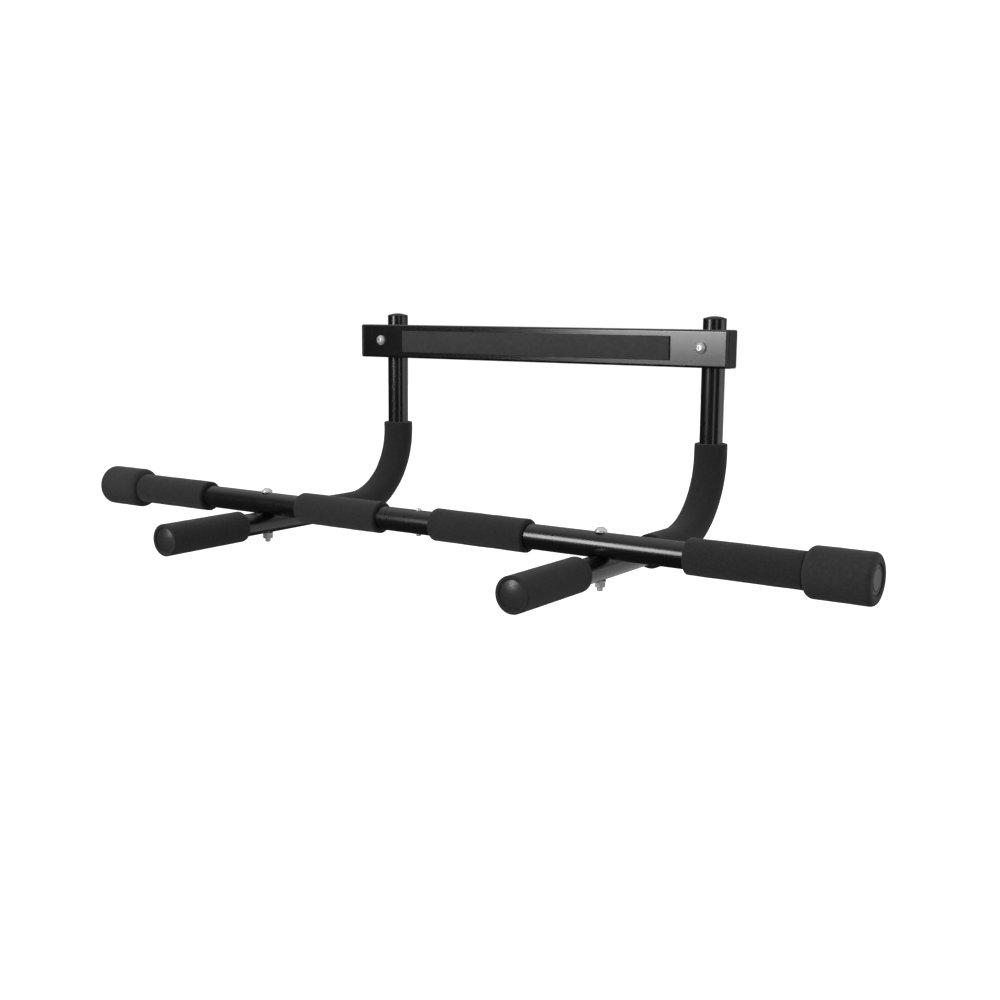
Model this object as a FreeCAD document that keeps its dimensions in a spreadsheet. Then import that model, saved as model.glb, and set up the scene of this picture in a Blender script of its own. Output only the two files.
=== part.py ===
import FreeCAD, Part
import math
import os
import re
import Sketcher

# A doorway pull-up bar. +X runs along the bars, +Y to the rear, +Z up.
# The origin is the middle of the crossbar's underside, where it rests on the door trim.
# All sizes are in millimetres.

DIMS = [
    ("bar_od", "25"),
    ("bar_wall", "1.5"),
    ("bar_half", "474"),
    ("seam_x", "-37"),
    ("seam_gap", "0.3"),
    ("spigot_len", "80"),
    ("slip_gap", "0.2"),
    ("arm_od", "25"),
    ("arm_wall", "1.5"),
    ("arm_x", "216"),
    ("arm_back", "234"),
    ("arm_bend", "88"),
    ("arm_front", "147"),
    ("upright_over", "10.5"),
    ("saddle_depth", "4"),
    ("saddle_gap", "0.05"),
    ("cross_over", "32"),
    ("cross_high", "40"),
    ("cross_deep", "20"),
    ("cross_wall", "1.5"),
    ("cross_corner", "2.5"),
    ("cross_drop", "158.5"),
    ("cross_cap", "4"),
    ("bolt_d", "6"),
    ("bolt_gap", "0.3"),
    ("head_d", "12"),
    ("head_high", "3.3"),
    ("head_edge", "0.7"),
    ("socket_flats", "4"),
    ("washer_d", "12"),
    ("washer_thick", "1.2"),
    ("nut_flats", "10"),
    ("nut_high", "5"),
    ("thread_out", "4"),
    ("foam_gap", "0.1"),
    ("grip_thick", "4.5"),
    ("inner_grip_thick", "4.25"),
    ("grip_round", "1.8"),
    ("outer_grip_len", "111"),
    ("inner_grip_len", "112.5"),
    ("left_grip_gap", "48.5"),
    ("right_grip_gap", "23"),
    ("handle_grip_len", "107.1"),
    ("handle_over", "2.6"),
    ("handle_rim", "1.2"),
    ("sleeve_thick", "5.25"),
    ("sleeve_run", "48"),
    ("sleeve_over", "10"),
    ("pad_thick", "10.5"),
    ("pad_len", "60"),
    ("pad_over", "4.5"),
    ("pad_gap", "0.5"),
    ("pad_round_in", "7"),
    ("pad_round_out", "5"),
    ("plug_lip", "1"),
    ("handle_lip", "0.75"),
    ("plug_len", "18"),
    ("plug_gap", "0.1"),
    ("plug_flange", "1.2"),
    ("plug_rim", "0.6"),
    ("dome_high", "2.3"),
    ("plug_wall", "2"),
    ("strip_left_gap", "34"),
    ("strip_right_gap", "36"),
    ("strip_high", "26"),
    ("strip_thick", "2"),
    ("snap_d", "6"),
    ("snap_gap", "0.1"),
    ("snap_out", "2"),
    ("spring_thick", "0.8"),
    ("spring_wide", "7"),
    ("spring_reach", "24"),
    ("spring_tip", "4.4"),
    ("spring_gap", "0.02"),
    ("bar_r", "=bar_od / 2"),
    ("bar_bore_r", "=bar_r - bar_wall"),
    ("spigot_r", "=bar_bore_r - slip_gap"),
    ("spigot_bore_r", "=spigot_r - bar_wall"),
    ("arm_r", "=arm_od / 2"),
    ("arm_bore_r", "=arm_r - arm_wall"),
    ("arm_drop", "=bar_r + arm_r - saddle_depth"),
    ("arm_rise", "=arm_drop + cross_drop + cross_high + upright_over"),
    ("bar_y", "=-(arm_back - arm_r - cross_deep / 2)"),
    ("bar_z", "=-cross_drop"),
    ("arm_z", "=-cross_drop - arm_drop"),
    ("upright_y", "=arm_r + cross_deep / 2"),
    ("cross_half", "=arm_x + cross_over"),
    ("hole_r", "=bolt_d / 2 + bolt_gap"),
    ("bolt_z", "=cross_high / 2 + 1"),
    ("bolt_rise", "=bolt_z + cross_drop + arm_drop"),
    ("pad_end", "=bar_half + pad_over"),
    ("pad_start", "=pad_end - pad_len"),
    ("pad_r", "=bar_r + pad_thick"),
    ("plug_disc_r", "=bar_r + plug_lip"),
    ("handle_disc_r", "=arm_r + handle_lip"),
    ("outer_grip_end", "=pad_start - pad_gap"),
    ("outer_grip_start", "=outer_grip_end - outer_grip_len"),
    ("outer_grip_r", "=bar_r + grip_thick"),
    ("inner_grip_r", "=bar_r + inner_grip_thick"),
    ("handle_grip_end", "=arm_front + handle_over"),
    ("handle_grip_start", "=handle_grip_end - handle_grip_len"),
    ("handle_grip_r", "=arm_r + grip_thick"),
    ("sleeve_start", "=arm_back - arm_bend - sleeve_run"),
    ("sleeve_top", "=arm_bend + sleeve_over"),
    ("sleeve_r", "=arm_r + sleeve_thick"),
    ("strip_len", "=2 * arm_x - strip_left_gap - strip_right_gap"),
    ("reach", "=4 * bar_od"),
    ("leg_z", "=sqrt(spigot_bore_r ^ 2 - spring_wide ^ 2 / 4) - spring_thick / 2 - spring_gap"),
]

doc = FreeCAD.newDocument("pull_up_bar")
sheet = doc.addObject("Spreadsheet::Sheet", "dims")
for row, (alias, content) in enumerate(DIMS, start=1):
    sheet.set(f"A{row}", alias)
    sheet.set(f"B{row}", content)
    sheet.setAlias(f"B{row}", alias)
doc.recompute()

AXIS_TURNS = {
    "+Z": FreeCAD.Rotation(),
    "-Z": FreeCAD.Rotation(FreeCAD.Vector(1, 0, 0), 180),
    "+X": FreeCAD.Rotation(FreeCAD.Vector(0, 1, 0), 90),
    "-X": FreeCAD.Rotation(FreeCAD.Vector(0, 1, 0), -90),
    "+Y": FreeCAD.Rotation(FreeCAD.Vector(1, 0, 0), -90),
    "-Y": FreeCAD.Rotation(FreeCAD.Vector(1, 0, 0), 90),
}
NAMES = {name for name, _ in DIMS}
SIDES = ("left", "right")
nodes = []


def size(expression):
    """The present value of an expression on the sheet's names."""
    return float(sheet.evalExpression(expression))


def sheet_name(found):
    """A word of an expression, with dims. before it when it is one of the sheet's names."""
    word = found.group()
    return "dims." + word if word in NAMES else word


def linked(expression):
    """The expression with every sheet name written as dims.name."""
    return re.sub(r"[A-Za-z_]\w*", sheet_name, expression)


def bind(obj, prop, expression):
    """Tie a property of an object to the sheet."""
    obj.setExpression(prop, linked(expression))


def place(obj, spot, axis="+Z"):
    """Put an object's origin at a spot, with its own Z along the axis named."""
    base = FreeCAD.Vector(*(size(part) for part in spot))
    obj.Placement = FreeCAD.Placement(base, AXIS_TURNS[axis])
    for letter, part in zip("xyz", spot):
        bind(obj, f"Placement.Base.{letter}", part)


def new_body(label):
    body = doc.addObject("PartDesign::Body", label)
    body.Label = label
    return body


def new_sketch(body, name, role):
    """An empty sketch on one of the body's own origin planes."""
    sketch = body.newObject("Sketcher::SketchObject", name)
    plane = next(feature for feature in body.Origin.OriginFeatures if feature.Role == role)
    sketch.AttachmentSupport = [(plane, "")]
    sketch.MapMode = "FlatFace"
    return sketch


def tie_point(sketch, geometry, end, across, up):
    """Hold one end of a sketch line at two expressions, measured from the sketch's origin."""
    for kind, expression in (("DistanceX", across), ("DistanceY", up)):
        index = sketch.addConstraint(Sketcher.Constraint(kind, -1, 1, geometry, end, size(expression)))
        sketch.setExpression(f"Constraints[{index}]", linked(expression))


def polygon(sketch, points):
    """A closed run of straight lines through points given as pairs of expressions."""
    corners = [FreeCAD.Vector(size(across), size(up), 0) for across, up in points]
    count = len(points)
    for index in range(count):
        sketch.addGeometry(Part.LineSegment(corners[index], corners[(index + 1) % count]), False)
    for index in range(count):
        sketch.addConstraint(Sketcher.Constraint("Coincident", index, 2, (index + 1) % count, 1))
    for index, (across, up) in enumerate(points):
        tie_point(sketch, index, 1, across, up)


def circle(sketch, radius):
    """A circle about the sketch's origin with its radius tied to the sheet."""
    middle = FreeCAD.Vector(0, 0, 0)
    index = sketch.addGeometry(Part.Circle(middle, FreeCAD.Vector(0, 0, 1), size(radius)), False)
    sketch.addConstraint(Sketcher.Constraint("Coincident", index, 3, -1, 1))
    held = sketch.addConstraint(Sketcher.Constraint("Radius", index, size(radius)))
    sketch.setExpression(f"Constraints[{held}]", linked(radius))


def turned(label, profile, spot, axis="+Z"):
    """A body turned about its own Z from (radius, height) corners."""
    body = new_body(label)
    sketch = new_sketch(body, label + "_profile", "XZ_Plane")
    polygon(sketch, profile)
    turn = body.newObject("PartDesign::Revolution", label + "_turn")
    turn.Profile = (sketch, [""])
    turn.ReferenceAxis = (sketch, ["V_Axis"])
    turn.Angle = 360
    place(body, spot, axis)
    doc.recompute()
    return body


def ring_profile(bore, outer, low, high):
    return [(bore, low), (outer, low), (outer, high), (bore, high)]


def round_rims(body, rims, radius):
    """Round the circular edges at the (radius, height) pairs named, in the body's own frame."""
    wanted = [(size(rim), size(height)) for rim, height in rims]
    shape = body.Tip.Shape
    names = []
    for number, edge in enumerate(shape.Edges, start=1):
        if not isinstance(edge.Curve, Part.Circle):
            continue
        for rim, height in wanted:
            near_rim = abs(edge.Curve.Radius - rim) < 0.01
            if near_rim and abs(edge.Curve.Center.z - height) < 0.01:
                names.append(f"Edge{number}")
    add_fillet(body, names, radius)


def add_fillet(body, names, radius):
    base = body.Tip
    fillet = body.newObject("PartDesign::Fillet", body.Name + "_round")
    fillet.Base = (base, names)
    fillet.Radius = size(radius)
    bind(fillet, "Radius", radius)
    doc.recompute()


def round_edges(body, wanted, radius):
    """Round the edges that a test on the edge accepts."""
    edges = body.Tip.Shape.Edges
    names = [f"Edge{number}" for number, edge in enumerate(edges, start=1) if wanted(edge)]
    add_fillet(body, names, radius)


def round_face(body, axis, level, radius):
    """Round the edges that lie in the plane across an axis of the body at a level."""
    low = axis + "Min"
    high = axis + "Max"
    height = size(level)

    def in_plane(edge):
        box = edge.BoundBox
        return abs(getattr(box, low) - height) < 0.01 and abs(getattr(box, high) - height) < 0.01

    round_edges(body, in_plane, radius)


def primitive(body, kind, name, sizes, spot, axis="+Z"):
    """Add or cut a primitive inside a body, tied to the sheet."""
    feature = body.newObject("PartDesign::" + kind, name)
    for prop, expression in sizes.items():
        if prop != "Polygon":
            setattr(feature, prop, size(expression))
            bind(feature, prop, expression)
    if "Polygon" in sizes:
        feature.Polygon = sizes["Polygon"]
    place(feature, spot, axis)
    doc.recompute()
    return feature


def drill(body, name, radius, spot, axis):
    """A long round hole whose middle is at the spot."""
    index = "XYZ".index(axis[1])
    start = list(spot)
    start[index] = f"{spot[index]} - reach / 2"
    sizes = {"Radius": radius, "Height": "reach"}
    primitive(body, "SubtractiveCylinder", name, sizes, start, axis)


def keep_node(obj, label):
    obj.Label = label
    nodes.append(obj)


def signed(side, expression):
    """The expression itself on the right, its mirror on the left."""
    return f"({expression})" if side == "right" else f"-({expression})"


def left_main_tube():
    """Left half of the main bar with the necked spigot that enters the right half."""
    profile = [
        ("bar_bore_r", "-bar_half"),
        ("bar_r", "-bar_half"),
        ("bar_r", "seam_x - 1"),
        ("bar_r - 1", "seam_x"),
        ("spigot_r", "seam_x"),
        ("spigot_r", "seam_x + spigot_len"),
        ("spigot_bore_r", "seam_x + spigot_len"),
        ("spigot_bore_r", "seam_x - 4"),
        ("bar_bore_r", "seam_x - 8"),
    ]
    body = turned("main_bar_left_tube", profile, ("0", "bar_y", "bar_z"), "+X")
    drill(body, "snap_hole_left_tube", "snap_d / 2 + snap_gap", ("0", "0", "0"), "+X")
    drill(body, "bolt_hole_left_tube", "hole_r", ("0", "0", "-arm_x"), "+X")
    keep_node(body, "main_bar_left_tube")


def right_main_tube():
    profile = ring_profile("bar_bore_r", "bar_r", "seam_x + seam_gap", "bar_half")
    body = turned("main_bar_right_tube", profile, ("0", "bar_y", "bar_z"), "+X")
    round_rims(body, [("bar_r", "seam_x + seam_gap")], "0.5")
    drill(body, "snap_hole_right_tube", "snap_d / 2 + snap_gap", ("0", "0", "0"), "+X")
    drill(body, "bolt_hole_right_tube", "hole_r", ("0", "0", "arm_x"), "+X")
    keep_node(body, "main_bar_right_tube")


def snap_button(side, axis):
    """A domed locking button with a foot that stays inside the spigot."""
    label = f"snap_button_{side}"
    foot_top = "spigot_bore_r - 1.2"
    profile = [
        ("0", "spigot_bore_r - 2.4"),
        ("snap_d / 2 + 1", "spigot_bore_r - 2.4"),
        ("snap_d / 2 + 1", foot_top),
        ("snap_d / 2", foot_top),
        ("snap_d / 2", "bar_r + snap_out"),
        ("0", "bar_r + snap_out"),
    ]
    body = turned(label, profile, ("0", "bar_y", "bar_z"), axis)
    round_rims(body, [("snap_d / 2", "bar_r + snap_out")], "snap_d / 2 * 0.6")
    keep_node(body, label)


def snap_spring():
    """The U-shaped strip spring that pushes both buttons outwards from inside the spigot."""
    body = new_body("snap_spring_clip")
    leg = size("leg_z")
    tip = -size("spring_tip")
    back = -size("spring_reach")
    path = new_sketch(body, "spring_path", "XZ_Plane")
    middle = FreeCAD.Vector(back, 0, 0)
    circle_of_bend = Part.Circle(middle, FreeCAD.Vector(0, 0, 1), leg)
    path.addGeometry(Part.LineSegment(FreeCAD.Vector(tip, leg, 0), FreeCAD.Vector(back, leg, 0)), False)
    path.addGeometry(Part.ArcOfCircle(circle_of_bend, math.radians(90), math.radians(270)), False)
    path.addGeometry(Part.LineSegment(FreeCAD.Vector(back, -leg, 0), FreeCAD.Vector(tip, -leg, 0)), False)
    path.addConstraint(Sketcher.Constraint("Tangent", 0, 2, 1, 1))
    path.addConstraint(Sketcher.Constraint("Tangent", 1, 2, 2, 1))
    path.addConstraint(Sketcher.Constraint("PointOnObject", 1, 3, -1))
    path.addConstraint(Sketcher.Constraint("Horizontal", 0))
    path.addConstraint(Sketcher.Constraint("Vertical", 0, 1, 2, 2))
    held = path.addConstraint(Sketcher.Constraint("Radius", 1, leg))
    path.setExpression(f"Constraints[{held}]", linked("leg_z"))
    held = path.addConstraint(Sketcher.Constraint("DistanceX", -1, 1, 0, 1, tip))
    path.setExpression(f"Constraints[{held}]", linked("-spring_tip"))
    held = path.addConstraint(Sketcher.Constraint("DistanceX", -1, 1, 1, 3, back))
    path.setExpression(f"Constraints[{held}]", linked("-spring_reach"))
    section = new_sketch(body, "spring_section", "YZ_Plane")
    section.AttachmentOffset = FreeCAD.Placement(FreeCAD.Vector(0, 0, tip), FreeCAD.Rotation())
    bind(section, "AttachmentOffset.Base.z", "-spring_tip")
    low = "leg_z - spring_thick / 2"
    high = "leg_z + spring_thick / 2"
    half = "spring_wide / 2"
    polygon(section, [(f"-{half}", low), (half, low), (half, high), (f"-{half}", high)])
    pipe = body.newObject("PartDesign::AdditivePipe", "spring_strip")
    pipe.Profile = (section, [""])
    pipe.Spine = (path, [""])
    place(body, ("0", "bar_y", "bar_z"))
    doc.recompute()
    keep_node(body, "snap_spring_clip")


def arm_path(body, name, start, top):
    """The arm's centre line: straight under the main bar, one bend, then straight up."""
    path = new_sketch(body, name, "YZ_Plane")
    bend = size("arm_bend")
    back = size("arm_back")
    begin = FreeCAD.Vector(size(start), 0, 0)
    turn = FreeCAD.Vector(back - bend, 0, 0)
    middle = FreeCAD.Vector(back - bend, bend, 0)
    rise = FreeCAD.Vector(back, bend, 0)
    finish = FreeCAD.Vector(back, size(top), 0)
    path.addGeometry(Part.LineSegment(begin, turn), False)
    arc = Part.Circle(middle, FreeCAD.Vector(0, 0, 1), bend)
    path.addGeometry(Part.ArcOfCircle(arc, math.radians(-90), 0), False)
    path.addGeometry(Part.LineSegment(rise, finish), False)
    path.addConstraint(Sketcher.Constraint("PointOnObject", 0, 1, -1))
    path.addConstraint(Sketcher.Constraint("Horizontal", 0))
    path.addConstraint(Sketcher.Constraint("Tangent", 0, 2, 1, 1))
    path.addConstraint(Sketcher.Constraint("Tangent", 1, 2, 2, 1))
    path.addConstraint(Sketcher.Constraint("Vertical", 2))
    held = path.addConstraint(Sketcher.Constraint("Radius", 1, bend))
    path.setExpression(f"Constraints[{held}]", linked("arm_bend"))
    held = path.addConstraint(Sketcher.Constraint("DistanceX", -1, 1, 0, 1, size(start)))
    path.setExpression(f"Constraints[{held}]", linked(start))
    tie_point(path, 2, 2, "arm_back", top)
    return path


def arm_pipe(label, radii, start, top):
    """A round pipe along the arm's centre line, with one radius (solid) or two (hollow)."""
    body = new_body(label)
    section = new_sketch(body, label + "_section", "XZ_Plane")
    section.AttachmentOffset = FreeCAD.Placement(FreeCAD.Vector(0, 0, -size(start)), FreeCAD.Rotation())
    bind(section, "AttachmentOffset.Base.z", f"-({start})")
    for radius in radii:
        circle(section, radius)
    path = arm_path(body, label + "_path", start, top)
    pipe = body.newObject("PartDesign::AdditivePipe", label + "_pipe")
    pipe.Profile = (section, [""])
    pipe.Spine = (path, [""])
    doc.recompute()
    return body


def arm_tube(side):
    """An arm: a bent tube with a pressed saddle for the main bar and holes for its two bolts."""
    spot = (signed(side, "arm_x"), "bar_y", "arm_z")
    outside = arm_pipe(f"{side}_arm_outside", ["arm_r"], "-arm_front", "arm_rise")
    across = {"Radius": "bar_r + saddle_gap", "Height": "reach"}
    saddle_spot = ("-reach / 2", "0", "arm_drop")
    primitive(outside, "SubtractiveCylinder", f"{side}_saddle", across, saddle_spot, "+X")
    drill(outside, f"{side}_saddle_hole", "hole_r", ("0", "0", "0"), "+Z")
    drill(outside, f"{side}_upright_hole", "hole_r", ("0", "arm_back", "bolt_rise"), "+Y")
    inside = arm_pipe(f"{side}_arm_inside", ["arm_bore_r"], "-arm_front", "arm_rise")
    pressed = {"Radius": "bar_r + saddle_gap + arm_wall", "Height": "reach"}
    primitive(inside, "SubtractiveCylinder", f"{side}_saddle_back", pressed, saddle_spot, "+X")
    for body in (outside, inside):
        place(body, spot)
    tube = doc.addObject("Part::Cut", f"{side}_arm_tube")
    tube.Base = outside
    tube.Tool = inside
    doc.recompute()
    keep_node(tube, f"{side}_arm_tube")


def arm_sleeve(side):
    """The thick foam sleeve over an arm's bend."""
    label = f"{side}_arm_foam_sleeve"
    body = arm_pipe(label, ["sleeve_r", "arm_r + foam_gap"], "sleeve_start", "sleeve_top")
    rim = size("sleeve_r")

    def outer_rim(edge):
        if not isinstance(edge.Curve, Part.Circle) or len(edge.Vertexes) != 1:
            return False
        return abs(edge.Curve.Radius - rim) < 0.01

    round_edges(body, outer_rim, "grip_round")
    place(body, (signed(side, "arm_x"), "bar_y", "arm_z"))
    doc.recompute()
    keep_node(body, label)


def foam_grip(label, outer, low, high, spot, axis):
    """A foam tube with rounded ends."""
    body = turned(label, ring_profile("bar_r + foam_gap", outer, low, high), spot, axis)
    round_rims(body, [(outer, low), (outer, high)], "grip_round")
    keep_node(body, label)


def grips(side):
    """The outer, inner and handle grips of one side."""
    on_bar = ("0", "bar_y", "bar_z")
    axis = "+X" if side == "right" else "-X"
    inner_start = f"{side}_grip_gap"
    inner_end = f"{side}_grip_gap + inner_grip_len"
    foam_grip(f"{side}_outer_grip", "outer_grip_r", "outer_grip_start", "outer_grip_end", on_bar, axis)
    foam_grip(f"{side}_inner_grip", "inner_grip_r", inner_start, inner_end, on_bar, axis)
    handle_grip(side)


def handle_grip(side):
    """The foam on an arm's front end, with a counterbore round the end plug's disc."""
    label = f"{side}_handle_grip"
    profile = [
        ("arm_r + foam_gap", "handle_grip_start"),
        ("handle_grip_r", "handle_grip_start"),
        ("handle_grip_r", "handle_grip_end"),
        ("handle_disc_r + plug_gap", "handle_grip_end"),
        ("handle_disc_r + plug_gap", "arm_front - foam_gap"),
        ("arm_r + foam_gap", "arm_front - foam_gap"),
    ]
    body = turned(label, profile, (signed(side, "arm_x"), "bar_y", "arm_z"), "-Y")
    round_rims(body, [("handle_grip_r", "handle_grip_start")], "grip_round")
    round_rims(body, [("handle_grip_r", "handle_grip_end")], "handle_rim")
    keep_node(body, label)


def end_pad(side):
    """The big rubber pad on an end of the main bar, with a counterbore for the end plug."""
    label = f"{side}_end_pad"
    profile = [
        ("bar_r + foam_gap", "pad_start"),
        ("pad_r", "pad_start"),
        ("pad_r", "pad_end"),
        ("plug_disc_r + plug_gap", "pad_end"),
        ("plug_disc_r + plug_gap", "bar_half - 0.5"),
        ("bar_r + foam_gap", "bar_half - 0.5"),
    ]
    axis = "+X" if side == "right" else "-X"
    body = turned(label, profile, ("0", "bar_y", "bar_z"), axis)
    round_rims(body, [("pad_r", "pad_start")], "pad_round_in")
    round_rims(body, [("pad_r", "pad_end")], "pad_round_out")
    round_rims(body, [("plug_disc_r + plug_gap", "pad_end")], "1.5")
    keep_node(body, label)


def end_plug(side):
    """The plug in an end of the main bar: a disc with a ring groove and a hollow shank."""
    label = f"{side}_bar_end_plug"
    profile = [
        ("bar_bore_r - plug_gap - plug_wall", "bar_half - plug_len"),
        ("bar_bore_r - plug_gap", "bar_half - plug_len"),
        ("bar_bore_r - plug_gap", "bar_half"),
        ("plug_disc_r", "bar_half"),
        ("plug_disc_r", "bar_half + 2.2"),
        ("plug_disc_r - 0.8", "bar_half + 3"),
        ("plug_disc_r - 2.6", "bar_half + 3"),
        ("plug_disc_r - 2.6", "bar_half + 2.4"),
        ("plug_disc_r - 3.6", "bar_half + 2.4"),
        ("plug_disc_r - 3.6", "bar_half + 3.3"),
        ("0", "bar_half + 3.3"),
        ("0", "bar_half"),
        ("bar_bore_r - plug_gap - plug_wall", "bar_half"),
    ]
    axis = "+X" if side == "right" else "-X"
    body = turned(label, profile, ("0", "bar_y", "bar_z"), axis)
    round_rims(body, [("plug_disc_r - 3.6", "bar_half + 3.3")], "0.6")
    keep_node(body, label)


# points of a plug's dome: share of the disc's radius, share of the dome's height
DOME = ((0.8, 0.36), (0.6, 0.64), (0.4, 0.84), (0.2, 0.96))


def domed_plug(label, disc, spot, axis):
    """A plug for an arm's open end: a domed disc and a hollow shank, own Z pointing out."""
    dome = [(f"{disc} * {radius}", f"plug_flange + dome_high * {height}") for radius, height in DOME]
    profile = [
        ("arm_bore_r - plug_gap - plug_wall", "-plug_len"),
        ("arm_bore_r - plug_gap", "-plug_len"),
        ("arm_bore_r - plug_gap", "0"),
        (disc, "0"),
        (disc, "plug_flange"),
        *dome,
        ("0", "plug_flange + dome_high"),
        ("0", "0"),
        ("arm_bore_r - plug_gap - plug_wall", "0"),
    ]
    body = turned(label, profile, spot, axis)
    round_rims(body, [(disc, "plug_flange")], "plug_rim")
    keep_node(body, label)


def crossbar_tube():
    """The rectangular tube that rests on the trim, with a bolt hole at each upright."""
    body = new_body("crossbar_tube")
    length = "2 * (cross_half - cross_cap)"
    start = "-(cross_half - cross_cap)"
    outer = {"Length": length, "Width": "cross_deep", "Height": "cross_high"}
    primitive(body, "AdditiveBox", "crossbar_outside", outer, (start, "-cross_deep / 2", "0"))
    round_edges(body, along_x, "cross_corner")
    inner = {
        "Length": f"{length} + 2",
        "Width": "cross_deep - 2 * cross_wall",
        "Height": "cross_high - 2 * cross_wall",
    }
    inner_spot = (f"{start} - 1", "-cross_deep / 2 + cross_wall", "cross_wall")
    primitive(body, "SubtractiveBox", "crossbar_inside", inner, inner_spot)
    for side in SIDES:
        drill(body, f"{side}_crossbar_hole", "hole_r", (signed(side, "arm_x"), "0", "bolt_z"), "+Y")
    keep_node(body, "crossbar_tube")


def along_x(edge):
    """True for a straight edge that runs along X."""
    if not isinstance(edge.Curve, Part.Line):
        return False
    return abs(edge.Curve.Direction.x) > 0.99


def crossbar_end_cap(side):
    """A moulded cap: a flange flush with the tube and a plug inside it."""
    label = f"crossbar_{side}_end_cap"
    body = new_body(label)
    flange = {"Length": "cross_cap", "Width": "cross_deep", "Height": "cross_high"}
    inner_face = "cross_half - cross_cap" if side == "right" else "-cross_half"
    primitive(body, "AdditiveBox", label + "_flange", flange, (inner_face, "-cross_deep / 2", "0"))
    round_edges(body, along_x, "cross_corner")
    round_face(body, "X", signed(side, "cross_half"), "1")
    shank = {
        "Length": "plug_len",
        "Width": "cross_deep - 2 * cross_wall - 2 * plug_gap",
        "Height": "cross_high - 2 * cross_wall - 2 * plug_gap",
    }
    start = "cross_half - cross_cap - plug_len" if side == "right" else "-(cross_half - cross_cap)"
    corner = ("-cross_deep / 2 + cross_wall + plug_gap", "cross_wall + plug_gap")
    primitive(body, "AdditiveBox", label + "_shank", shank, (start, *corner))
    hollow = {
        "Length": "plug_len",
        "Width": "cross_deep - 2 * (cross_wall + plug_gap + plug_wall)",
        "Height": "cross_high - 2 * (cross_wall + plug_gap + plug_wall)",
    }
    inset = tuple(f"{part} + plug_wall" for part in corner)
    primitive(body, "SubtractiveBox", label + "_hollow", hollow, (start, *inset))
    keep_node(body, label)


def crossbar_strip():
    """The soft protective strip on the crossbar's front face."""
    body = new_body("crossbar_pad_strip")
    block = {"Length": "strip_len", "Width": "strip_thick", "Height": "strip_high"}
    spot = (
        "strip_left_gap - arm_x",
        "-cross_deep / 2 - strip_thick",
        "(cross_high - strip_high) / 2",
    )
    primitive(body, "AdditiveBox", "strip_block", block, spot)
    round_face(body, "Y", "-cross_deep / 2 - strip_thick", "0.6")
    keep_node(body, "crossbar_pad_strip")


def bolt(label, grip_length, spot, axis):
    """A socket button-head bolt: own Z out of the head, zero under the head."""
    profile = [
        ("0", f"-({grip_length})"),
        ("bolt_d / 2 - 0.6", f"-({grip_length})"),
        ("bolt_d / 2", f"-({grip_length}) + 0.6"),
        ("bolt_d / 2", "0"),
        ("head_d / 2", "0"),
        ("head_d / 2", "head_edge"),
        ("head_d / 4", "head_high"),
        ("0", "head_high"),
    ]
    body = turned(label, profile, spot, axis)
    round_rims(body, [("head_d / 2", "head_edge"), ("head_d / 4", "head_high")], "1.2")
    socket = {"Polygon": 6, "Circumradius": "socket_flats / 2 / cos(30)", "Height": "head_high"}
    primitive(body, "SubtractivePrism", label + "_socket", socket, ("0", "0", "head_high * 0.4"))
    keep_node(body, label)


def nut(label, spot, axis):
    """A hex nut, own Z pointing away from the joint, with its outer corners chamfered."""
    body = new_body(label)
    blank = {"Polygon": 6, "Circumradius": "nut_flats / 2 / cos(30)", "Height": "nut_high"}
    primitive(body, "AdditivePrism", label + "_blank", blank, ("0", "0", "0"))
    drill(body, label + "_bore", "bolt_d / 2 + 0.02", ("0", "0", "0"), "+Z")
    sketch = new_sketch(body, label + "_bevel", "XZ_Plane")
    bevel = [
        ("nut_flats / 2", "nut_high"),
        ("nut_flats", "nut_high"),
        ("nut_flats", "nut_high - nut_flats / 4"),
    ]
    polygon(sketch, bevel)
    groove = body.newObject("PartDesign::Groove", label + "_groove")
    groove.Profile = (sketch, [""])
    groove.ReferenceAxis = (sketch, ["V_Axis"])
    groove.Angle = 360
    place(body, spot, axis)
    doc.recompute()
    keep_node(body, label)


def washer(label, spot, axis):
    profile = ring_profile("bolt_d / 2 + bolt_gap", "washer_d / 2", "0", "washer_thick")
    return turned(label, profile, spot, axis)


def fastening(prefix, head, tail, axis, grip_length):
    """A bolt with a washer under its head and under its nut, from head face to tail face."""
    opposite = {"+Z": "-Z", "-Y": "+Y"}[axis]
    index = "XYZ".index(axis[1])
    sign = "+" if axis[0] == "+" else "-"
    back = "-" if axis[0] == "+" else "+"
    seat = list(head)
    seat[index] = f"{head[index]} {sign} washer_thick"
    end = list(tail)
    end[index] = f"{tail[index]} {back} washer_thick"
    shank = f"{grip_length} + 2 * washer_thick + nut_high + thread_out"
    bolt(f"{prefix}_bolt", shank, seat, axis)
    nut(f"{prefix}_nut", end, opposite)
    pair = doc.addObject("Part::Compound", f"{prefix}_washers")
    pair.Links = [
        washer(f"{prefix}_head_washer", head, axis),
        washer(f"{prefix}_nut_washer", tail, opposite),
    ]
    doc.recompute()
    keep_node(pair, f"{prefix}_washers")


def fastenings(side):
    x = signed(side, "arm_x")
    arm_head = (x, "bar_y", "bar_z + bar_r")
    arm_tail = (x, "bar_y", "arm_z - arm_r")
    fastening(f"{side}_arm", arm_head, arm_tail, "+Z", "bar_r + arm_drop + arm_r")
    cross_head = (x, "-cross_deep / 2", "bolt_z")
    cross_tail = (x, "cross_deep / 2 + arm_od", "bolt_z")
    fastening(f"{side}_crossbar", cross_head, cross_tail, "-Y", "cross_deep + arm_od")


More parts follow.
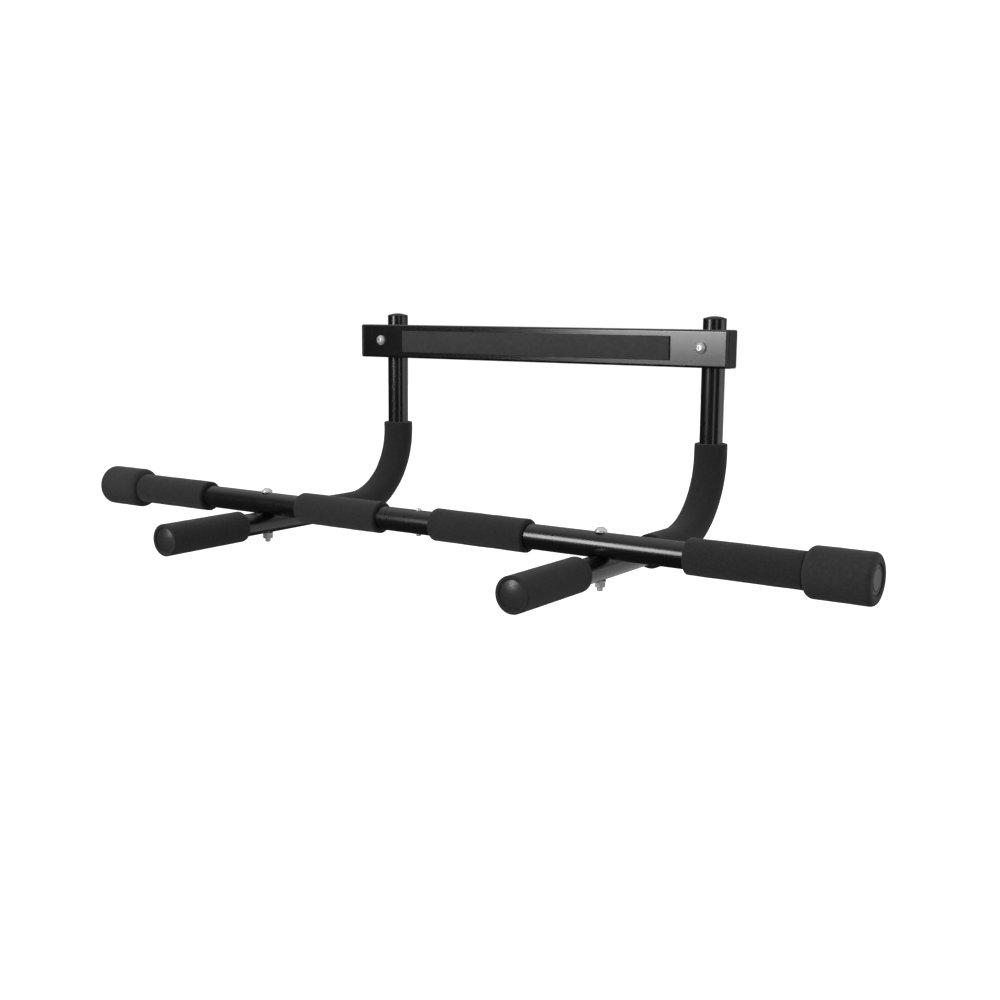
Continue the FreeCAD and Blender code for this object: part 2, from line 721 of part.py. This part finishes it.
left_main_tube()
right_main_tube()
snap_button("upper", "+Z")
snap_button("lower", "-Z")
snap_spring()
crossbar_tube()
crossbar_strip()
for arm_side in SIDES:
    arm_tube(arm_side)
    arm_sleeve(arm_side)
    grips(arm_side)
    end_pad(arm_side)
    end_plug(arm_side)
    handle_end = (signed(arm_side, "arm_x"), "bar_y - arm_front", "arm_z")
    domed_plug(f"{arm_side}_handle_end_plug", "handle_disc_r", handle_end, "-Y")
    upright_end = (signed(arm_side, "arm_x"), "upright_y", "arm_z + arm_rise")
    domed_plug(f"{arm_side}_upright_cap", "arm_r", upright_end, "+Z")
    crossbar_end_cap(arm_side)
    fastenings(arm_side)
doc.recompute()

for item in doc.Objects:
    if "Invalid" in item.State or "Error" in item.State:
        raise RuntimeError(f"{item.Label} did not recompute: {item.State}")
for node in nodes:
    if node.Shape.isNull() or not node.Shape.isValid():
        raise RuntimeError(f"{node.Label} has no valid shape")

os.makedirs("parts", exist_ok=True)
for node in nodes:
    node.Shape.exportStep(f"parts/{node.Label}.step")
    print(node.Label, round(node.Shape.Volume), len(node.Shape.Solids))
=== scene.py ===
import math

import bpy
from mathutils import Matrix, Vector

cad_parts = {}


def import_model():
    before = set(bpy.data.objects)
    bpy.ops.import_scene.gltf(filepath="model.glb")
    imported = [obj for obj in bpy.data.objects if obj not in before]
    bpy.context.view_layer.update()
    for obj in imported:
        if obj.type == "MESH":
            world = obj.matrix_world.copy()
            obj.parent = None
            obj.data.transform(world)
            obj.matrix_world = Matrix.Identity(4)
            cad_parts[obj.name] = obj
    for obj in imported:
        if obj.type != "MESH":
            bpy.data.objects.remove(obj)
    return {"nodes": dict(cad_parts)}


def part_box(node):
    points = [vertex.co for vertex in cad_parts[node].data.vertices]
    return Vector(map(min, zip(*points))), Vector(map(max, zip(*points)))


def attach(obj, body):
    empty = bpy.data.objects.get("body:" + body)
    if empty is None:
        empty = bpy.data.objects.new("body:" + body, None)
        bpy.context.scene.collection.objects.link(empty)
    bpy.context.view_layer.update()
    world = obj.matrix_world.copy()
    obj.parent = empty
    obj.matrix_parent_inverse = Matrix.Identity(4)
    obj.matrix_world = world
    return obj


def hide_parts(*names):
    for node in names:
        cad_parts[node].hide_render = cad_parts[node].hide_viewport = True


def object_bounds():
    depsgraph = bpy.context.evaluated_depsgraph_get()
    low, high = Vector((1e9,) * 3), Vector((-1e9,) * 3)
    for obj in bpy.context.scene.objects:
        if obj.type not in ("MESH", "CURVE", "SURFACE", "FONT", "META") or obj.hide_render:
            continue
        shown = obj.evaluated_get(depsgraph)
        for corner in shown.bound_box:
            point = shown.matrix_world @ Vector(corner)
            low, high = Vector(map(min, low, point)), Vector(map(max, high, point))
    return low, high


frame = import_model()
cad_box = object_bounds()

MM = 0.001
SIDES = ("left", "right")
AROUND = 96
BODY = "frame"
X = Vector((1, 0, 0))
Y = Vector((0, 1, 0))
Z = Vector((0, 0, 1))

FOAM_GAP = 0.1 * MM
FOAM_PITCH = 2.2 * MM
FOAM_RIM = 1.7 * MM
RECESS_GAP = 0.15 * MM
BEND_RADIUS = 88 * MM
BEND_STEPS = 56
STRIP_CUTS = 60
FLOOR_DROP = 2.0
LENS_PER_SENSOR = 1.269
SENSOR = 36


# ---------------------------------------------------------------- places read from the frame

def middle(node):
    low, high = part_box(node)
    return (low + high) / 2


BAR = middle("main_bar_right_tube")
BAR_RADIUS = (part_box("main_bar_right_tube")[1].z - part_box("main_bar_right_tube")[0].z) / 2
ARM_RADIUS = (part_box("left_arm_tube")[1].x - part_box("left_arm_tube")[0].x) / 2
ARM_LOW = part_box("left_arm_tube")[0].z + ARM_RADIUS
UPRIGHT_Y = middle("left_upright_cap").y


# ---------------------------------------------------------------- modelling helpers

def deselect():
    bpy.ops.object.select_all(action="DESELECT")


def named(obj, name):
    obj.name = name
    obj.data.name = name
    return obj


def edit(obj):
    deselect()
    obj.select_set(True)
    bpy.context.view_layer.objects.active = obj
    bpy.ops.object.mode_set(mode="EDIT")


def done():
    bpy.ops.object.mode_set(mode="OBJECT")


def settle(obj):
    """Put the finished piece's place into its mesh."""
    deselect()
    obj.select_set(True)
    bpy.context.view_layer.objects.active = obj
    bpy.ops.object.transform_apply(location=True, rotation=True, scale=True)


def ring(name, spot, axis, radius):
    """A circle of vertices about a spot, facing along the axis, left in edit mode."""
    deselect()
    bpy.ops.mesh.primitive_circle_add(vertices=AROUND, radius=radius)
    obj = named(bpy.context.active_object, name)
    turn = Z.rotation_difference(axis)
    obj.matrix_world = Matrix.Translation(spot) @ turn.to_matrix().to_4x4()
    settle(obj)
    edit(obj)
    bpy.ops.mesh.select_all(action="SELECT")
    return obj


def push(move):
    """Extrude what is selected by a move."""
    bpy.ops.mesh.extrude_region_move(TRANSFORM_OT_translate={"value": tuple(move)})


def widen(axis, ratio, centre):
    """Scale the selected ring about its middle, across the axis."""
    across = [1 if abs(part) > 0.5 else ratio for part in axis]
    bpy.ops.transform.resize(value=across, center_override=tuple(centre))


def follow(spot, axis, profile):
    """Extrude the selected ring through (radius, height) pairs; the first pair is the ring itself."""
    for (radius, height), (wider, higher) in zip(profile, profile[1:]):
        push(axis * (higher - height))
        if abs(wider - radius) > 1e-9:
            widen(axis, wider / radius, spot + axis * higher)


def close_shape(obj):
    """Close open rims, face outwards and shade smoothly."""
    bpy.ops.mesh.select_all(action="SELECT")
    bpy.ops.mesh.remove_doubles(threshold=1e-6)
    bpy.ops.mesh.normals_make_consistent(inside=False)
    done()
    settle(obj)
    bpy.ops.object.shade_smooth_by_angle(angle=math.radians(35))


def quarter(radius, height, size, start, end, steps=6):
    """Points of a rounded corner about (radius, height), from one angle to another, in degrees."""
    angles = [math.radians(start + (end - start) * step / steps) for step in range(steps + 1)]
    return [(radius + size * math.cos(a), height + size * math.sin(a)) for a in angles]


def straight(radius, low, high):
    """Points between two heights at one radius, spaced by the foam's pitch."""
    count = max(1, round((high - low) / FOAM_PITCH))
    return [(radius, low + (high - low) * step / count) for step in range(1, count)]


def turned(name, spot, axis, profile, closed=True):
    """A solid turned from (radius, height) pairs: the last ring joins the first, or both ends are capped."""
    obj = ring(name, spot + axis * profile[0][1], axis, profile[0][0])
    follow(spot, axis, profile)
    if closed:
        bpy.ops.mesh.select_mode(type="EDGE")
        bpy.ops.mesh.select_all(action="DESELECT")
        bpy.ops.mesh.select_non_manifold()
        bpy.ops.mesh.bridge_edge_loops()
        bpy.ops.mesh.select_mode(type="VERT")
    else:
        bpy.ops.mesh.select_all(action="SELECT")
        bpy.ops.mesh.fill_holes(sides=0)
    close_shape(obj)
    return obj


def roughen(obj, depth, grain, seed):
    """Move the surface in and out by a little, as cut foam does."""
    clouds = bpy.data.textures.new(obj.name + "_lumps", "CLOUDS")
    clouds.noise_scale = grain
    clouds.noise_depth = 2
    lumps = obj.modifiers.new("lumps", "DISPLACE")
    lumps.texture = clouds
    lumps.texture_coords = "LOCAL"
    lumps.strength = depth
    lumps.mid_level = 0.5 + 0.02 * seed
    deselect()
    obj.select_set(True)
    bpy.context.view_layer.objects.active = obj
    bpy.ops.object.modifier_apply(modifier=lumps.name)
    return obj


# ---------------------------------------------------------------- materials

class Paint:
    """Node helpers around one Principled shader."""

    def __init__(self, name, colour, roughness, **sockets):
        self.material = bpy.data.materials.new(name)
        self.material.use_nodes = True
        self.nodes = self.material.node_tree.nodes
        self.links = self.material.node_tree.links
        self.shader = self.nodes["Principled BSDF"]
        self.shader.inputs["Base Color"].default_value = (*colour, 1)
        self.shader.inputs["Roughness"].default_value = roughness
        for socket, value in sockets.items():
            self.shader.inputs[socket.replace("_", " ")].default_value = value
        self.place = self.nodes.new("ShaderNodeTexCoord").outputs["Object"]
        self.last_normal = None

    def noise(self, scale, detail=4, roughness=0.5, stretch=None):
        node = self.nodes.new("ShaderNodeTexNoise")
        node.inputs["Scale"].default_value = scale
        node.inputs["Detail"].default_value = detail
        node.inputs["Roughness"].default_value = roughness
        self.links.new(self.stretched(stretch), node.inputs["Vector"])
        return node.outputs["Fac"]

    def cells(self, scale, smooth=0.0, stretch=None):
        node = self.nodes.new("ShaderNodeTexVoronoi")
        node.feature = "SMOOTH_F1" if smooth else "F1"
        if smooth:
            node.inputs["Smoothness"].default_value = smooth
        node.inputs["Scale"].default_value = scale
        self.links.new(self.stretched(stretch), node.inputs["Vector"])
        return node.outputs["Distance"]

    def stretched(self, stretch):
        if stretch is None:
            return self.place
        mapping = self.nodes.new("ShaderNodeMapping")
        mapping.inputs["Scale"].default_value = stretch
        self.links.new(self.place, mapping.inputs["Vector"])
        return mapping.outputs["Vector"]

    def ramp(self, value, stops):
        """Map a value through grey or coloured stops given as (position, colour)."""
        node = self.nodes.new("ShaderNodeValToRGB")
        elements = node.color_ramp.elements
        for element, (position, colour) in zip(elements, stops):
            element.position = position
            element.color = (*colour, 1)
        for position, colour in stops[2:]:
            elements.new(position).color = (*colour, 1)
        self.links.new(value, node.inputs["Fac"])
        return node.outputs["Color"]

    def colour(self, value, stops):
        self.links.new(self.ramp(value, stops), self.shader.inputs["Base Color"])

    def gloss(self, value, low, high):
        node = self.nodes.new("ShaderNodeMapRange")
        node.inputs["To Min"].default_value = low
        node.inputs["To Max"].default_value = high
        self.links.new(value, node.inputs["Value"])
        self.links.new(node.outputs["Result"], self.shader.inputs["Roughness"])

    def bump(self, value, height, strength=1.0):
        node = self.nodes.new("ShaderNodeBump")
        node.inputs["Distance"].default_value = height
        node.inputs["Strength"].default_value = strength
        self.links.new(value, node.inputs["Height"])
        if self.last_normal:
            self.links.new(self.last_normal, node.inputs["Normal"])
        self.last_normal = node.outputs["Normal"]
        self.links.new(self.last_normal, self.shader.inputs["Normal"])


def grey(level, tint=0.0):
    return (level, level, level * (1 + tint))


def black_enamel():
    """Gloss black stoved enamel on steel tube: a slight orange peel and faint dust-dull patches."""
    paint = Paint("black_enamel", grey(0.006, 0.06), 0.2)
    paint.shader.inputs["Specular IOR Level"].default_value = 0.5
    paint.shader.inputs["Coat Weight"].default_value = 0.6
    paint.shader.inputs["Coat Roughness"].default_value = 0.17
    paint.colour(paint.noise(9, 5), [(0.35, grey(0.0045, 0.06)), (0.7, grey(0.0075, 0.05))])
    paint.gloss(paint.noise(24, 6, 0.6), 0.2, 0.36)
    paint.bump(paint.noise(700, 2), 0.00004, 0.35)
    return paint.material


def crossbar_enamel():
    """The same enamel on the rectangular tube: its flats are faintly wavy and carry wipe marks."""
    paint = Paint("crossbar_enamel", grey(0.006, 0.05), 0.22)
    paint.shader.inputs["Coat Weight"].default_value = 0.85
    paint.shader.inputs["Coat Roughness"].default_value = 0.16
    paint.colour(paint.noise(7, 5), [(0.35, grey(0.0045, 0.05)), (0.7, grey(0.0075, 0.04))])
    paint.gloss(paint.noise(14, 7, 0.65, (0.5, 1, 2.2)), 0.16, 0.34)
    paint.bump(paint.noise(9, 2, 0.4, (0.6, 1, 1.6)), 0.0009, 0.5)
    paint.bump(paint.noise(620, 2), 0.00004, 0.3)
    return paint.material


def grip_foam():
    """Closed-cell foam: fine open pores in a dull skin, with soft larger unevenness."""
    foam = Paint("grip_foam", grey(0.03), 0.95)
    foam.shader.inputs["Specular IOR Level"].default_value = 0.25
    foam.shader.inputs["Sheen Weight"].default_value = 0.12
    foam.shader.inputs["Sheen Roughness"].default_value = 0.6
    pores = foam.cells(1500)
    foam.colour(foam.noise(420, 6, 0.7), [(0.3, grey(0.017)), (0.72, grey(0.032))])
    foam.gloss(foam.noise(60, 4), 0.86, 1.0)
    foam.bump(foam.noise(130, 5, 0.6), 0.0006, 0.35)
    foam.bump(pores, 0.0003, 0.6)
    return foam.material


def pad_foam():
    """The end pads' denser foam rubber: a tighter skin than the grips'."""
    foam = Paint("pad_foam", grey(0.026), 0.85)
    foam.shader.inputs["Specular IOR Level"].default_value = 0.3
    foam.shader.inputs["Sheen Weight"].default_value = 0.1
    foam.shader.inputs["Sheen Roughness"].default_value = 0.5
    foam.colour(foam.noise(300, 6, 0.7), [(0.3, grey(0.028)), (0.72, grey(0.047))])
    foam.gloss(foam.noise(50, 4), 0.74, 0.92)
    foam.bump(foam.noise(160, 5, 0.6), 0.0005, 0.3)
    foam.bump(foam.cells(1700), 0.0002, 0.5)
    return foam.material


def strip_rubber():
    """Dark grey rubber sheet with a fine even grain."""
    rubber = Paint("strip_rubber", grey(0.05), 0.7)
    rubber.shader.inputs["Specular IOR Level"].default_value = 0.35
    rubber.colour(rubber.noise(220, 5, 0.6), [(0.3, grey(0.043)), (0.7, grey(0.06))])
    rubber.gloss(rubber.noise(40, 4), 0.6, 0.8)
    rubber.bump(rubber.cells(1300, 0.4), 0.0001, 0.5)
    return rubber.material


def moulded_plastic(name, level, rough):
    """Moulded polyethylene with a fine spark-eroded texture."""
    plastic = Paint(name, grey(level), rough)
    plastic.colour(plastic.noise(30, 5), [(0.3, grey(level * 0.85)), (0.7, grey(level * 1.15))])
    plastic.gloss(plastic.noise(90, 5), rough - 0.08, rough + 0.1)
    plastic.bump(plastic.noise(1800, 3), 0.00006, 0.5)
    return plastic.material


def bright_zinc():
    """Bright zinc plate: a pale cloudy metal with faint dulled patches."""
    zinc = Paint("bright_zinc", grey(0.88, 0.03), 0.32, Metallic=0.55)
    zinc.colour(zinc.noise(260, 5), [(0.3, grey(0.76, 0.03)), (0.7, grey(0.93, 0.02))])
    zinc.gloss(zinc.noise(500, 4), 0.26, 0.45)
    zinc.bump(zinc.noise(900, 3), 0.00003, 0.4)
    return zinc.material


def spring_steel():
    steel = Paint("spring_steel", grey(0.4), 0.35, Metallic=1.0)
    steel.gloss(steel.noise(300, 4, 0.5, (1, 12, 12)), 0.28, 0.45)
    return steel.material


ENAMEL = black_enamel()
CROSSBAR_ENAMEL = crossbar_enamel()
GRIP_FOAM = grip_foam()
PAD_FOAM = pad_foam()
STRIP_RUBBER = strip_rubber()
BLACK_PLASTIC = moulded_plastic("black_plastic", 0.018, 0.5)
DULL_PLASTIC = moulded_plastic("dull_plastic", 0.026, 0.66)
GREY_PLASTIC = moulded_plastic("grey_plastic", 0.1, 0.45)
DISC_PLASTIC = moulded_plastic("disc_plastic", 0.03, 0.34)
ZINC = bright_zinc()
SPRING_STEEL = spring_steel()


def finish_node(node, material):
    """Give a CAD node its finish."""
    slots = frame["nodes"][node].material_slots
    for slot in slots:
        slot.material = material


def finish_piece(piece, material, slot, *nodes):
    """Finish a new piece that stands for CAD nodes of the frame body."""
    piece.data.materials.clear()
    piece.data.materials.append(material)
    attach(piece, BODY)
    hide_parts(*nodes)
    return piece


# ---------------------------------------------------------------- foam

def foam_profile(outer, bore, low, high):
    """Half outline of a foam tube from its bore round the outside and back to its bore."""
    rim = FOAM_RIM
    profile = [(bore, low), (outer - rim, low)]
    profile += quarter(outer - rim, low + rim, rim, -90, 0)
    profile += straight(outer, low + rim, high - rim)
    profile += quarter(outer - rim, high - rim, rim, 0, 90)
    profile += [(bore, high)]
    return tidy(profile)


def tidy(profile):
    """Drop points that repeat the one before."""
    kept = [profile[0]]
    for point in profile[1:]:
        if math.dist(point, kept[-1]) > 1e-7:
            kept.append(point)
    return kept


def foam_grip(node, seed):
    """A straight foam grip on the main bar, in its CAD solid's place."""
    low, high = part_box(node)
    centre = (low + high) / 2
    half_length = (high.x - low.x) / 2
    outer = min(high - low) / 2
    profile = foam_profile(outer, BAR_RADIUS + FOAM_GAP, -half_length, half_length)
    grip = turned(node + "_foam", centre, X, profile)
    roughen(grip, 0.5 * MM, 0.012, seed)
    finish_piece(grip, GRIP_FOAM, "black_foam", node)
    return grip


def foam_grips():
    for number, side in enumerate(SIDES):
        foam_grip(f"{side}_outer_grip", number)
        foam_grip(f"{side}_inner_grip", number + 2)
        handle_grip(side, number + 4)


def handle_grip(side, seed):
    """The foam on an arm's front end: its front rim stands round the end plug's disc."""
    node = f"{side}_handle_grip"
    low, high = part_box(node)
    plug_low, plug_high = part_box(f"{side}_handle_end_plug")
    start = Vector(((low.x + high.x) / 2, high.y, ARM_LOW))
    length = high.y - low.y
    outer = (high.x - low.x) / 2
    bore = ARM_RADIUS + FOAM_GAP
    recess = (plug_high.x - plug_low.x) / 2 + RECESS_GAP
    floor_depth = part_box(f"{side}_arm_tube")[0].y + FOAM_GAP - low.y
    rim = FOAM_RIM
    lip = 0.8 * MM
    profile = [(bore, 0), (outer - rim, 0)]
    profile += quarter(outer - rim, rim, rim, -90, 0)
    profile += straight(outer, rim, length - lip)
    profile += quarter(outer - lip, length - lip, lip, 0, 90, 4)
    profile += quarter(recess + lip, length - lip, lip, 90, 180, 4)
    profile += [(recess, length - floor_depth), (bore, length - floor_depth)]
    grip = turned(node + "_foam", start, -Y, tidy(profile))
    roughen(grip, 0.3 * MM, 0.012, seed)
    finish_piece(grip, GRIP_FOAM, "black_foam", node)


def arm_sleeve(side, seed):
    """The thick foam sleeve that follows the arm round its bend."""
    node = f"{side}_arm_foam_sleeve"
    low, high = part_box(node)
    x = (low.x + high.x) / 2
    outer = ARM_LOW - low.z
    bore = ARM_RADIUS + FOAM_GAP
    rim = FOAM_RIM
    bend_start = UPRIGHT_Y - BEND_RADIUS
    begin = Vector((x, low.y, ARM_LOW))
    run = bend_start - low.y
    rise = high.z - ARM_LOW - BEND_RADIUS
    hub = Vector((x, bend_start, ARM_LOW + BEND_RADIUS))
    sleeve = ring(node + "_foam", begin, Y, bore)
    opening = [(bore, 0), (outer - rim, 0)] + quarter(outer - rim, rim, rim, -90, 0)
    opening += straight(outer, rim, run) + [(outer, run)]
    follow(begin, Y, tidy(opening))
    bpy.ops.mesh.spin(steps=BEND_STEPS, angle=math.radians(-90), center=hub, axis=X)
    top = Vector((x, UPRIGHT_Y, ARM_LOW + BEND_RADIUS))
    ending = [(outer, 0)] + straight(outer, 0, rise - rim)
    ending += quarter(outer - rim, rise - rim, rim, 0, 90) + [(bore, rise), (bore, 0)]
    follow(top, Z, tidy(ending))
    bpy.ops.mesh.spin(steps=BEND_STEPS, angle=math.radians(90), center=hub, axis=X)
    push(Y * -run)
    close_shape(sleeve)
    roughen(sleeve, 0.5 * MM, 0.014, seed)
    finish_piece(sleeve, GRIP_FOAM, "black_foam", node)


def end_pad(side, seed):
    """The big end pad: rounded at both ends, with a recess for the end plug."""
    node = f"{side}_end_pad"
    low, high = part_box(node)
    plug_low, plug_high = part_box(f"{side}_bar_end_plug")
    out = X if side == "right" else -X
    length = high.x - low.x
    start = Vector((low.x if side == "right" else high.x, BAR.y, BAR.z))
    outer = (high.z - low.z) / 2
    recess = (plug_high.z - plug_low.z) / 2 + RECESS_GAP
    bore = BAR_RADIUS + FOAM_GAP
    inner_round = 7 * MM
    outer_round = 5 * MM
    lip = 1.5 * MM
    floor_depth = 4.9 * MM
    profile = [(bore, 0), (outer - inner_round, 0)]
    profile += quarter(outer - inner_round, inner_round, inner_round, -90, 0, 9)
    profile += straight(outer, inner_round, length - outer_round)
    profile += quarter(outer - outer_round, length - outer_round, outer_round, 0, 90, 8)
    profile += quarter(recess + lip, length - lip, lip, 90, 180, 4)
    profile += [(recess, length - floor_depth), (bore, length - floor_depth)]
    pad = turned(node + "_foam", start, out, tidy(profile))
    roughen(pad, 0.45 * MM, 0.015, seed)
    finish_piece(pad, PAD_FOAM, "pad_rubber", node)


# ---------------------------------------------------------------- domed plugs

def domed_plug(node, out, material, slot):
    """A moulded plug: hollow shank in the tube, thin flange and a smooth dome over the tube's end."""
    low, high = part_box(node)
    along = Vector([abs(part) for part in out])
    length = (high - low).dot(along)
    start = (low + high) / 2 - out * length / 2
    disc = (high - low - along * length).length / math.sqrt(2) / 2
    shank = ARM_RADIUS - 1.6 * MM
    hollow = shank - 2 * MM
    shoulder = 18 * MM
    dome = 2.3 * MM
    rim = 0.6 * MM
    edge = length - dome
    tip = 0.05 * MM
    profile = [(tip, shoulder), (hollow, shoulder), (hollow, 0)]
    profile += [(shank, 0), (shank, shoulder), (disc, shoulder)]
    profile += quarter(disc - rim, edge - rim, rim, 0, 70)
    for step in range(1, 16):
        share = 1 - step / 16
        profile.append(((disc - rim) * share, edge + dome * (1 - share * share)))
    profile.append((tip, length))
    plug = turned(node + "_moulded", start, out, tidy(profile), closed=False)
    finish_piece(plug, material, slot, node)


def domed_plugs():
    for side in SIDES:
        domed_plug(f"{side}_handle_end_plug", -Y, DISC_PLASTIC, "grey_plastic")
        domed_plug(f"{side}_upright_cap", Z, BLACK_PLASTIC, "black_plastic")


# ---------------------------------------------------------------- strip

def crossbar_strip():
    """The protective strip: a block with soft edges, cut finely enough to lie a little uneven."""
    node = "crossbar_pad_strip"
    low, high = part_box(node)
    deselect()
    bpy.ops.mesh.primitive_cube_add(size=1, location=(low + high) / 2, scale=high - low)
    strip = named(bpy.context.active_object, node + "_rubber")
    settle(strip)
    edit(strip)
    bpy.ops.mesh.select_all(action="SELECT")
    bpy.ops.mesh.bevel(offset=0.7 * MM, segments=3)
    for cut in range(1, STRIP_CUTS):
        bpy.ops.mesh.select_all(action="SELECT")
        x = low.x + (high.x - low.x) * cut / STRIP_CUTS
        bpy.ops.mesh.bisect(plane_co=(x, 0, 0), plane_no=X)
    close_shape(strip)
    roughen(strip, 0.25 * MM, 0.02, 3)
    finish_piece(strip, STRIP_RUBBER, "strip_rubber", node)


# ---------------------------------------------------------------- CAD nodes that stay

def finish_nodes():
    for side in SIDES:
        finish_node(f"{side}_arm_tube", ENAMEL)
        finish_node(f"{side}_bar_end_plug", GREY_PLASTIC)
        finish_node(f"crossbar_{side}_end_cap", DULL_PLASTIC)
        for place in ("arm", "crossbar"):
            for part in ("bolt", "nut", "washers"):
                finish_node(f"{side}_{place}_{part}", ZINC)
    finish_node("main_bar_left_tube", ENAMEL)
    finish_node("main_bar_right_tube", ENAMEL)
    finish_node("crossbar_tube", CROSSBAR_ENAMEL)
    finish_node("snap_button_upper", ZINC)
    finish_node("snap_button_lower", ZINC)
    finish_node("snap_spring_clip", SPRING_STEEL)


finish_nodes()
foam_grips()
for number, side in enumerate(SIDES):
    arm_sleeve(side, number)
    end_pad(side, number)
crossbar_strip()
domed_plugs()


# ---------------------------------------------------------------- floor, light and camera

def floor():
    """A wide white floor as far down as under a doorway, kept out of the bar's reflections and fill light."""
    deselect()
    bpy.ops.mesh.primitive_plane_add(size=60, location=(0, 0, cad_box[0].z - FLOOR_DROP))
    plane = named(bpy.context.active_object, "floor")
    settle(plane)
    paint = Paint("pale_floor", grey(0.85), 0.9)
    paint.colour(paint.noise(0.6, 3), [(0.3, grey(0.85)), (0.7, grey(0.87))])
    paint.shader.inputs["Emission Color"].default_value = (1, 1, 1, 1)
    paint.shader.inputs["Emission Strength"].default_value = 0.95
    plane.data.materials.append(paint.material)
    plane.visible_glossy = False
    plane.visible_diffuse = False


def toward(azimuth, elevation):
    """A direction from the bar: azimuth from the front toward the right, and elevation, in degrees."""
    a = math.radians(azimuth)
    e = math.radians(elevation)
    return Vector((math.sin(a) * math.cos(e), -math.cos(a) * math.cos(e), math.sin(e)))


def soft_light(name, azimuth, elevation, distance, width, height, power):
    """A rectangular soft light that faces the middle of the bar."""
    centre = (cad_box[0] + cad_box[1]) / 2
    out = toward(azimuth, elevation)
    data = bpy.data.lights.new(name, "AREA")
    data.shape = "RECTANGLE"
    data.size = width
    data.size_y = height
    data.energy = power
    lamp = bpy.data.objects.new(name, data)
    lamp.location = centre + out * distance
    lamp.rotation_euler = (-out).to_track_quat("-Z", "Y").to_euler()
    bpy.context.scene.collection.objects.link(lamp)
    return lamp


def world():
    """White to the camera; for light and reflections a bright ceiling over a dim room."""
    room = bpy.data.worlds.new("studio")
    bpy.context.scene.world = room
    room.use_nodes = True
    nodes = room.node_tree.nodes
    links = room.node_tree.links
    way = nodes.new("ShaderNodeTexCoord")
    upward = nodes.new("ShaderNodeVectorMath")
    upward.operation = "DOT_PRODUCT"
    upward.inputs[1].default_value = (0, 0.35, 0.94)
    links.new(way.outputs["Generated"], upward.inputs[0])
    ceiling = nodes.new("ShaderNodeMapRange")
    ceiling.inputs["From Min"].default_value = 0.25
    ceiling.inputs["From Max"].default_value = 0.8
    ceiling.inputs["To Min"].default_value = 0.03
    ceiling.inputs["To Max"].default_value = 0.58
    links.new(upward.outputs["Value"], ceiling.inputs["Value"])
    background = nodes["Background"]
    background.inputs["Color"].default_value = (1, 1, 1, 1)
    links.new(ceiling.outputs["Result"], background.inputs["Strength"])
    seen = nodes.new("ShaderNodeBackground")
    seen.inputs["Color"].default_value = (1, 1, 1, 1)
    seen.inputs["Strength"].default_value = 1.05
    path = nodes.new("ShaderNodeLightPath")
    mix = nodes.new("ShaderNodeMixShader")
    links.new(path.outputs["Is Camera Ray"], mix.inputs["Fac"])
    links.new(background.outputs["Background"], mix.inputs[1])
    links.new(seen.outputs["Background"], mix.inputs[2])
    links.new(mix.outputs["Shader"], nodes["World Output"].inputs["Surface"])


def camera():
    """The camera's place and turn: azimuth and pitch in degrees, then a slight roll."""
    spot = Vector((0.7979, -1.2292, 0.0562))
    yaw = math.radians(34.39)
    pitch = math.radians(8.415)
    roll = math.radians(0.463)
    ahead = Vector((-math.sin(yaw) * math.cos(pitch), math.cos(yaw) * math.cos(pitch), -math.sin(pitch)))
    right = Vector((math.cos(yaw), math.sin(yaw), 0))
    up = right.cross(ahead)
    turned_right = right * math.cos(roll) + up * math.sin(roll)
    turned_up = up * math.cos(roll) - right * math.sin(roll)
    data = bpy.data.cameras.new("camera")
    data.sensor_width = SENSOR
    data.lens = SENSOR * LENS_PER_SENSOR
    data.clip_start = 0.01
    data.clip_end = 200
    eye = bpy.data.objects.new("camera", data)
    axes = Matrix((turned_right, turned_up, -ahead)).transposed()
    eye.matrix_world = Matrix.Translation(spot) @ axes.to_4x4()
    bpy.context.scene.collection.objects.link(eye)
    bpy.context.scene.camera = eye


floor()
world()
soft_light("front_left_softbox", -22, 15.5, 1.5, 0.5, 0.66, 10.8)
soft_light("front_right_strip", 53, 8, 1.6, 0.36, 1.2, 1.8)
soft_light("white_backdrop", 155, -24, 2.4, 3.2, 2.2, 11)
fill = soft_light("front_fill", 18, -8, 2.4, 2.4, 1.8, 16)
fill.visible_glossy = False
soft_light("right_side_softbox", 112, 8, 2, 1.2, 1.2, 5)
rear_fill = soft_light("rear_fill", 200, 12, 2.4, 2.4, 1.8, 20)
rear_fill.visible_glossy = False
camera()
bpy.context.scene.view_settings.view_transform = "Standard"
